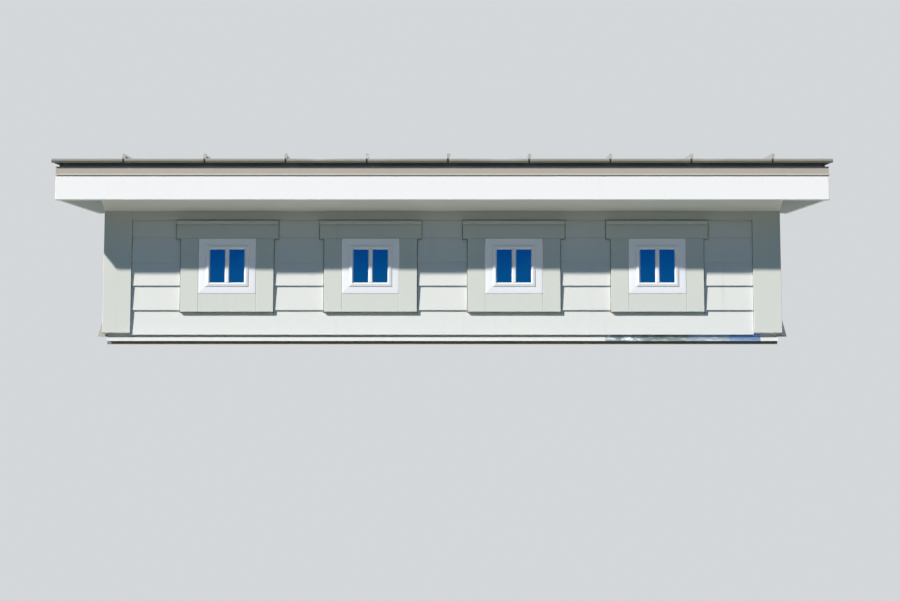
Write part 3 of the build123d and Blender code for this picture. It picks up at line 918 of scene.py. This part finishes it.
# %% Sealed panes: two sheets of glass with a metal spacer between them
seal = 0.1 * mm
inner_pane = 19 * mm
glass_thick = 3 * mm
glass_edge = 0.3 * mm
glazing = Batch()
spacers = Batch()
z0, z1 = window_middle - pane_half, window_middle + pane_half
for centre in centres:
    x0, x1 = centre - pane_half, centre + pane_half
    for behind in (seal, inner_pane):
        y = glass_face + behind
        glazing.board((x0, y, z0), (x1, y + glass_thick, z1), ease=glass_edge)
    square_frame(spacers, spacer_section, centre, pane_half, glass_face)
glazing.place("glass_panes", window_pane, "window_glass")
spacers.place("glass_spacers", spacer_bar, "window_glass", slot="window_pane")

# %% [markdown]
# ## Casings
# Round each window are four flat boards: the sides run down beside the board below the window,
# and the head lies across them and overhangs. A thicker cap strip lies on the head. It ends a
# little below the frieze, which leaves a dark line over each window. One sheet with a hole would
# be simpler, but it has no joints, and these are left a hair open, as a painted joint is after
# its first winter.

# %% Casing boards
joint = 0.35 * mm
cap_height = 14 * mm
cap_gap = 10 * mm
cap_low = frieze_low - cap_gap - cap_height
cap_high = frieze_low - cap_gap
cap_front = low("window_casing_1", "y")
for number, centre in enumerate(centres, start=1):
    casing = Batch()
    inner = window_half + window_gap
    for a, b in ((-casing_half, -inner), (inner, casing_half)):
        top = (centre + b, wall_face, head_low - joint)
        casing.board((centre + a, trim_face, casing_low), top, Z, X)
    below = (centre - inner + joint, trim_face + hair, casing_low)
    casing.board(below, (centre + inner - joint, wall_face, window_low - hair))
    left, right = centre - head_half, centre + head_half
    casing.board((left, trim_face, head_low), (right, wall_face, cap_low - joint))
    casing.board((left, cap_front, cap_low), (right, wall_face, cap_high))
    casing.place(f"casing_boards_{number}", trim_paint, f"window_casing_{number}")

# %% [markdown]
# ## Standing-seam roof
# Each panel is one sheet, folded in section: a plain leg on its left edge, and on its right a
# leg with a cap that hooks over the next panel's leg. Ribs on a flat slab would look machined, and
# the folds at the lip would be missing. So the section is a folded line with round bends, carried
# up the slope over many rings. The flat of the pan is out of true by under a millimetre, as thin
# sheet always is, and that makes its reflections wander.

# %% Seam places
seam_count = 9
seam_pitch = 406.4 * mm
first_seam = 355 * mm
seam_height = 25 * mm
seam_flange = 7 * mm
seam_hook = 11 * mm
edge_drop = 18 * mm
clearance = 0.3 * mm
cap_reach = seam_flange + clearance + sheet
leg_high = seam_height - sheet - clearance
ripple = 0.8 * mm
stiff_edge = 60 * mm
pan_steps = 9
lip_y = low("roof_panel_05", "y")
seams = [-metal_edge + first_seam + index * seam_pitch for index in range(seam_count)]
panel_edges = list(zip([-metal_edge] + seams, seams + [metal_edge]))
print("seams at", seams)


# %% Section of a panel
def panel_section(left, right):
    """The folded line of a panel as (x, height above the pan), with its sheet on the left."""
    start, end = left + thin, right - clearance
    if left in seams:
        path = [(left + seam_flange, leg_high), (start, leg_high), (start, 0.0)]
    else:
        path = [(start, -edge_drop), (start, 0.0)]
    path += [(x, 0.0) for x in evenly(start, end, pan_steps)[1:-1]]
    if right in seams:
        fold, cap = right + cap_reach - thin, seam_height - thin
        path += [(end, 0.0), (end, cap), (fold, cap), (fold, seam_height - seam_hook)]
        return path
    return path + [(right - thin, 0.0), (right - thin, -edge_drop)]


def panel_ripple(x, y, left, right):
    """How far the flat of a pan is out of true: most in its middle, none at its legs."""
    share = min(1.0, max(0.0, min(x - left, right - x) / stiff_edge))
    return ripple * share * noise.noise(Vector((x * 5.0, y * 1.6, left * 3.0)))


print("the first panel's section", panel_section(*panel_edges[0])[:3])

# %% Points of a panel and of a seam's end
hem_run = 13 * mm
lip_drop = 13 * mm
hem_drop = 19 * mm
seam_end_run = 14 * mm
rings_up = 24
seam_recess = 0.9 * mm
seam_foot = 2 * mm  # a point above this belongs to a seam
flat_zone = 1.5 * mm  # and one as near the pan as this to the flat


def panel_point(step, x, up):
    """A point of the section of the panel between left and right, on one ring up the slope."""
    height = pan_high + up / roof_cos
    seam_end = seam_end_run * up / seam_height + seam_recess
    start = lip_y + (seam_end if up > seam_foot else hem_run)
    y = start + (runs_out(height) - start) * step / rings_up
    settle = panel_ripple(x, y, left, right) if step and abs(up) < flat_zone else 0.0
    return (x, y, height + roof_slope * y + settle)


def tab_point(back, x, up):
    y = lip_y + seam_end_run * up * mm / seam_height + back
    return (right + x * mm, y, pan_high + up * mm / roof_cos + roof_slope * y)


print("a panel has", rings_up + 1, "rings")

# %% Panels with their hems and seam ends
seam_bend = 1.3 * mm
wide_bend = 5 * mm
hem_inset = 0.2 * mm
tab_front, tab_back = 0.1 * mm, 0.8 * mm
tip_reach = 4.0
for number, (left, right) in enumerate(panel_edges, start=1):
    panel = Batch()
    outline = bent(panel_section(left, right), -thin, seam_bend, 3)
    panel.carry(outline, range(rings_up + 1), panel_point)
    lip_z = pan_high + roof_slope * lip_y
    fold = [(lip_y + hem_run, lip_z + roof_slope * hem_run), (lip_y, lip_z)]
    fold += [(lip_y, lip_z - lip_drop), (lip_y + hem_run, lip_z - hem_drop)]
    hem_start = left + (cap_reach if left in seams else hem_inset)
    hem_end = right - (clearance if right in seams else 0.0)
    panel.across_wall(bent(fold, thin, wide_bend, 6), hem_start, hem_end)
    if right in seams:
        # the seam's folded end in mm, as (x from the seam, height above the pan), no two alike
        tip = random.uniform(0.0, tip_reach)
        tab = [(-1.5, 0.3), (12.0, 0.3), (14.0, 8.0), (14.5 + tip, 20.0), (9.0 + tip, 26.0)]
        tab += [(1.5 + 0.4 * tip, 25.5), (-1.2, 13.0)]
        panel.carry(tab, (tab_front, tab_back), tab_point)
    panel.place(f"seamed_panel_{number:02d}", roof_metal, f"roof_panel_{number:02d}", smooth=True)

# %% [markdown]
# ## Strips and flashings
# The taupe strip caps the fascia along the eave and up both rakes. The apron covers the joint
# between the wall's foot and the slope that carries it. Flat planes would have no thickness at
# their free edges, which show here, so they come from bent outlines too.

# %% Eave strip
strip_height = 45 * mm
strip_lap = 60 * mm
kick = 4 * mm
bend = 1.6 * mm
strip_gap = 1 * mm
strip_overhang = 0.6 * mm
eave = Batch()
face_path = [(fascia_face - kick, fascia_high - strip_height)]
face_path += [(fascia_face, fascia_high - strip_height + 2 * kick), (fascia_face, fascia_high)]
strip_path = face_path + [(fascia_back, fascia_high), climb(fascia_back, deck_high)]
strip_path.append(climb(fascia_back + strip_lap, deck_high))
eave.across_wall(bent(strip_path, thin, bend), -rake_back, rake_back)
end_path = face_path + [(fascia_back - strip_gap, fascia_high)]
strip_end = rake_face + strip_overhang
for a, b in ((-strip_end, -rake_back), (rake_back, strip_end)):
    eave.across_wall(bent(end_path, thin, bend), a, b)
eave.place("eave_strip", strip_metal, "eave_flashing", smooth=True)

# %% Rake strips
rake_rings = 12
rake_path = [(rake_back - strip_lap, deck_high), (rake_back, deck_high), (rake_back, rake_high)]
rake_path += [(rake_face, rake_high), (rake_face, rake_high - strip_height + 2 * kick)]
rake_path += [(rake_face + kick, rake_high - strip_height)]


def rake_point(step, x, height):
    start = fascia_face if height < rake_high + 2 * strip_gap else fascia_back + strip_gap
    y = start + (runs_out(height) - start) * step / rake_rings
    return (x, y, height + roof_slope * y)


for side, sign in SIDES:
    strip = Batch()
    outline = [(sign * x, height) for x, height in bent(rake_path, thin, bend)]
    strip.carry(outline, range(rake_rings + 1), rake_point)
    strip.place(f"rake_strip_{side}", strip_metal, f"rake_flashing_{side}", smooth=True)

# %% Apron flashings
apron_leg = 75 * mm
apron_bend = 2.5 * mm
apron_lift = 0.6 * mm
held_flat = 12 * mm
ring_pitch = 40 * mm
apron_start = wall_face - apron_leg * main_cos
covering = low("apron_flashing_bare", "z") - main_slope * apron_start
apron_top = high("apron_flashing_bare", "z")
apron_path = [climb(y, covering, main_slope) for y in (apron_start, wall_face)]
apron_path.append((wall_face, apron_top))
apron_outline = bent(apron_path, thin, apron_bend)
print("room under the flashings", covering)


def apron_point(x, y, z):
    """The loose edge of the apron lifts a little, and not evenly."""
    loose = max(0.0, (wall_face - held_flat - y) / apron_leg)
    lift = apron_lift * loose * (1 + noise.noise(Vector((x * 4.0, 3.1, 0.7))))
    return (x, y, z + lift)


for colour, finish, spans in (
    ("white", white_metal, ((-sheath_x, bare_low), (bare_high, sheath_x))),
    ("bare", bare_metal, ((bare_low, bare_high),)),
):
    apron = Batch()
    for start, end in spans:
        count = max(2, int((end - start) / ring_pitch))
        apron.carry(apron_outline, evenly(start, end, count), apron_point)
    apron.place(f"apron_{colour}", finish, f"apron_flashing_{colour}", smooth=True)

# %% [markdown]
# Under the flashings, roofing felt laps up the foot of the walls. It is a thin grey mat with a
# sandy face, and only its lowest strip shows, below the edge of the apron. It could be left out,
# but then bare strand board would show there. A flat strip is enough, because it lies close to
# the wall.

# %% Felt at the foot of the walls
felt = Finish("roofing_felt")
felt_sand = felt.noise(700.0, 3.0, 0.6)
felt_tone = felt.mix(felt.noise(7.0, 4.0, 0.6), (0.19, 0.20, 0.22), (0.27, 0.28, 0.30))
roofing_felt = felt.surface(
    Base_Color=felt.stain(felt_tone, (0.12, 0.125, 0.135), felt_sand, 0.5, 0.7, 0.5),
    Roughness=0.82 + felt_sand * 0.12,
    Normal=felt.bump(felt_sand, 0.5, 0.4 * mm),
)
felt_thick = 0.6 * mm
air = 1 * mm  # between a sheet and what covers it
felt_high = covering - air
mat = Batch()
mat_top = (sheath_x, wall_face, wall_foot + felt_high)
mat.board((-sheath_x, wall_face - felt_thick, wall_foot), mat_top, ease=0.0)
mat.place("foot_felt_front", roofing_felt, "front_sheathing", slot="sheathing_panel")
for side, sign in SIDES:
    mat = Batch()
    outline = band(0.0, felt_high, wall_face, far_back, main_slope)
    edges = span(sign, sheath_x, sheath_x + felt_thick)
    mat.across_wall(under(outline, rake_frieze_low - air), *edges)
    node = f"cheek_sheathing_{side}"
    mat.place(f"foot_felt_{side}", roofing_felt, node, slot="sheathing_panel")

# %% [markdown]
# The cheeks end at the slope in step flashings: short bent sheets, each lapping the one below it,
# so that water always runs onto the next. One long sheet would cover the joint as well, but the
# laps show as steps, so each is bent by itself.

# %% Step flashings
step_length = 200 * mm
step_pitch = 150 * mm
shortest_step = 20 * mm
step_sheet = 0.5 * mm
lap_lift = 0.55 * mm
leg_inset = 1.5 * mm
lowest_leg = 2 * mm
cheek_leg = high("cheek_flashing_right", "x") - sheath_x - leg_inset
end_of_wall = runs_out(rake_frieze_low - covering - air)
for side, sign in SIDES:
    steps = Batch()
    y = wall_face + air
    while y < end_of_wall - shortest_step:
        stop = min(y + step_length * main_cos, end_of_wall)
        rings = []
        for at, lifted in ((y, lap_lift), (stop, 0.0)):
            ground = main_slope * at + covering
            room = rake_frieze_low + roof_slope * at - ground - air
            wall_top = max(lowest_leg, min(apron_top - wall_foot - covering, room))
            path = [(cheek_leg, lifted), (0.0, lifted), (0.0, wall_top + lifted)]
            outline = bent(path, -step_sheet, steps=3)
            x = sheath_x + lifted
            rings.append([(sign * (x + out), at, ground + up) for out, up in outline])
        steps.loft(rings)
        y += step_pitch * main_cos
    steps.place(f"step_flashings_{side}", roof_metal, f"cheek_flashing_{side}", smooth=True)

# %% [markdown]
# Where the dormer's roof runs into the steeper slope behind it, a wide sheet covers the top ends
# of the seams. Between the seams a low upright strip closes it off. The sheet could be dead flat,
# but at this width that looks like thick plate, so it sags a little between the seams.

# %% Sheet over the seams' top ends
seam_top = pan_high + seam_height / roof_cos
turn_y = runs_out(seam_top)
closure_y = low("transition_flashing", "y") + air
top_inset = 2 * mm
leg_end = high("transition_flashing", "y") - top_inset
front_drop = 9 * mm
sheet_sag = 0.5 * mm
calm_zone = 20 * mm
sheet_rings = 40
path = [(closure_y - air, seam_top + roof_slope * closure_y - front_drop)]
path.append(climb(closure_y, seam_top))
path += [climb(y, 0.0, main_slope) for y in (turn_y, leg_end)]


def transition_point(x, y, z):
    """The sheet sags a little between the seams, and not on the steeper slope."""
    wave = sheet_sag * (1 + noise.noise(Vector((x * 3.0, y * 4.0, 1.3))))
    return (x, y, z - wave if z < main_slope * turn_y - calm_zone else z)


transition = Batch()
across = evenly(-metal_edge, metal_edge, sheet_rings)
transition.carry(bent(path, thin, wide_bend, 6), across, transition_point)

# %% Closing strips between the seams
closure_set_back = 3 * mm
closure_thick = 0.6 * mm
closure_bend = 1.5 * mm
foot_gap = 0.4 * mm
flange = 22 * mm
bay_starts = [-metal_edge] + [seam + cap_reach + 2 * sheet for seam in seams]
bay_ends = [seam - 2 * sheet for seam in seams] + [metal_edge]
y = closure_y + closure_set_back
foot = pan_high + roof_slope * y + foot_gap
top = seam_top + roof_slope * y - sheet
path = [(y + flange, foot + roof_slope * flange), (y, foot), (y, top)]
path.append((y + flange, top + roof_slope * flange))
for start, end in zip(bay_starts, bay_ends):
    transition.across_wall(bent(path, -closure_thick, closure_bend, 3), start, end)
transition.place("transition_cover", roof_metal, "transition_flashing", smooth=True)

# %% [markdown]
# ## Carpentry
# From behind and below, the framing shows: a wall of studs with framed openings, cheeks of
# short studs between two sloping plates, rafters notched over the wall, and the board that
# joins their ends. It could be one solid, but the grain has to turn with each board. So every
# piece is a separate sawn board with rounded edges.

# %% Places in the front wall's frame
stick = 38 * mm
saw = 2.2 * mm
shim = 6 * mm
header_height = 140 * mm
plate_high = rafter_low + roof_slope * stud_back
sole_high = main_slope * stud_back + stick
opening_half = window_half + shim
opening_high = window_high + shim
stud_top = plate_high - 2 * stick
sill = window_low - stick
header_top = min(opening_high + header_height, stud_top)
print("studs from", sole_high, "to", stud_top, "and openings", 2 * opening_half, "wide")

# %% Front wall frame
wall = Batch()


def stud(x, top):
    wall.board((x, stud_front, sole_high), (x + stick, stud_back, top), Z, Y, saw)


sole = [climb(y, 0.0, main_slope) for y in (stud_front, stud_back)]
sole += [(stud_back, sole_high), (stud_front, sole_high)]
wall.across_wall(sole, -frame_x, frame_x, X, Y, saw)
for layer in (1, 2):
    z = plate_high - layer * stick
    wall.board((-frame_x, stud_front, z), (frame_x, stud_back, z + stick), X, Y, saw)
for x in (-frame_x, frame_x - stick):
    stud(x, stud_top)
for centre in centres:
    left, right = centre - opening_half, centre + opening_half
    stud(left - stick, stud_top)
    stud(right, stud_top)
    stud(centre - stick / 2, sill)
    wall.board((left, stud_front, sill), (right, stud_back, window_low), X, Y, saw)
    for y in (stud_front, stud_back - stick):
        wall.board((left, y, opening_high), (right, y + stick, header_top), X, Z, saw)
wall.place("wall_studs", lumber, "front_wall_frame")

# %% Spacers inside the headers
inside = 2 * mm
spacer_board = Batch()
for centre in centres:
    half = opening_half - inside
    spacer_low = (centre - half, stud_front + stick, opening_high + inside)
    spacer_top = (centre + half, stud_back - stick, header_top - inside)
    spacer_board.board(spacer_low, spacer_top, ease=0.0)
spacer_board.place("header_spacers", strand_board, "front_wall_frame", slot="sheathing_panel")

# %% Cheek frames
spacing = 406.4 * mm
cheek_depth = 89 * mm
plate_rise = stick / main_cos
top_plate = stick / roof_cos
stud_count = int((runs_out(rafter_low) - stud_back) / spacing)
for side, sign in SIDES:
    cheek = Batch()
    edges = span(sign, frame_x, frame_x - cheek_depth)
    lower = band(0.0, plate_rise, stud_back, far_back, main_slope)
    cheek.across_wall(under(lower, rafter_low), *edges, MAIN_SLOPE, X, saw)
    upper = band(rafter_low - top_plate, rafter_low, stud_back)
    upper = tidy(above_slope(upper, plate_rise))
    cheek.across_wall(upper, *edges, SLOPE, X, saw)
    for index in range(stud_count):
        y = stud_back + index * spacing
        outline = above_slope(rectangle(y, y + stick, 0.0, far_up), plate_rise)
        cheek.across_wall(under(outline, rafter_low - top_plate), *edges, Z, Y, saw)
    cheek.place(f"cheek_studs_{side}", lumber, f"cheek_frame_{side}")

# %% Rafters and the eave frame
tail_end = fascia_back + stick
bays = math.ceil((2 * frame_x - stick) / spacing)
outline = band(rafter_low, deck_low, tail_end)
notch = [climb(stud_front, rafter_low), (stud_front, plate_high), (stud_back, plate_high)]
outline = tidy(outline[:1] + notch + outline[1:])
rafter = Batch()
for x in evenly(-frame_x, frame_x - stick, bays):
    rafter.across_wall(outline, x, x + stick, SLOPE, X, saw)
rafter.place("rafter_boards", lumber, "rafters")

eave_boards = Batch()
sub = band(rafter_low, deck_low, fascia_back, tail_end)
eave_boards.across_wall(sub, -rake_back, rake_back, X, Z, saw)
for a, b in ((-rake_back, -rake_back + stick), (rake_back - stick, rake_back)):
    eave_boards.across_wall(band(rafter_low, deck_low, tail_end), a, b, SLOPE, X, saw)
eave_boards.place("eave_boards", lumber, "eave_frame")

# %% [markdown]
# ## Sheathing
# The deck and the walls are covered in strand board, in sheets 1.22 m wide with a 3 mm gap
# between them for swelling. Dark lines in the finish would do from afar. Here the gaps are real,
# so each sheet is its own solid and has its own strands.

# %% Roof deck sheets
sheet_width = 1.22
sheet_length = 2.44
expansion = 3 * mm
deck = Batch()
row_start = fascia_back
row = 0
while row_start < runs_out(deck_low):
    row_end = row_start + sheet_width * roof_cos
    outline = tidy(band(deck_low, deck_high, row_start, row_end))
    cuts = [-rake_back, -rake_back + (sheet_length if row % 2 == 0 else sheet_length / 2)]
    while cuts[-1] < rake_back:
        cuts.append(cuts[-1] + sheet_length)
    for a, b in zip(cuts, cuts[1:]):
        deck.across_wall(outline, a, min(b - expansion, rake_back), X, SLOPE)
    row_start = row_end + expansion
    row += 1
deck.place("deck_sheets", strand_board, "roof_deck", slot="sheathing_panel")

# %% Sheets on the front wall
sheath_top = high("front_sheathing", "z")
sheath_thick = 11 * mm
sheath_back = wall_face + sheath_thick
sheathing = Batch()
midway = [(here + there) / 2 for here, there in zip(centres, centres[1:])]
cuts = [-sheath_x, *midway, sheath_x]
for a, b in zip(cuts, cuts[1:]):
    b = b - expansion if b < sheath_x else b
    edges = [a]
    for centre in centres:
        if a < centre < b:
            edges += [centre - opening_half, centre + opening_half]
    edges.append(b)
    pieces = [(p, q, wall_foot, sheath_top) for p, q in zip(edges[::2], edges[1::2])]
    for p, q in zip(edges[1::2], edges[2::2]):
        pieces += [(p, q, wall_foot, window_low), (p, q, opening_high, sheath_top)]
    for p, q, foot, top in pieces:
        sheathing.board((p, wall_face, foot), (q, sheath_back, top), ease=0.0)
sheathing.place("wall_sheets", strand_board, "front_sheathing", slot="sheathing_panel")

# %% Sheets on the cheeks
for side, sign in SIDES:
    cheek = Batch()
    start = sheath_back
    while start < runs_out(deck_low):
        end = min(start + sheet_width, far_back)
        outline = under(above_slope(rectangle(start, end, 0.0, far_up)), deck_low)
        cheek.across_wall(outline, *span(sign, frame_x, sheath_x), Y, Z)
        start = end + expansion
    node = f"cheek_sheathing_{side}"
    cheek.place(f"cheek_sheets_{side}", strand_board, node, slot="sheathing_panel")

# %% [markdown]
# ## Finish
# The colours are shown as they are written, with the standard view transform. The dressed
# model has to stay inside the box of the solids.

# %% Show the colours as written
bpy.context.scene.view_settings.view_transform = "Standard"
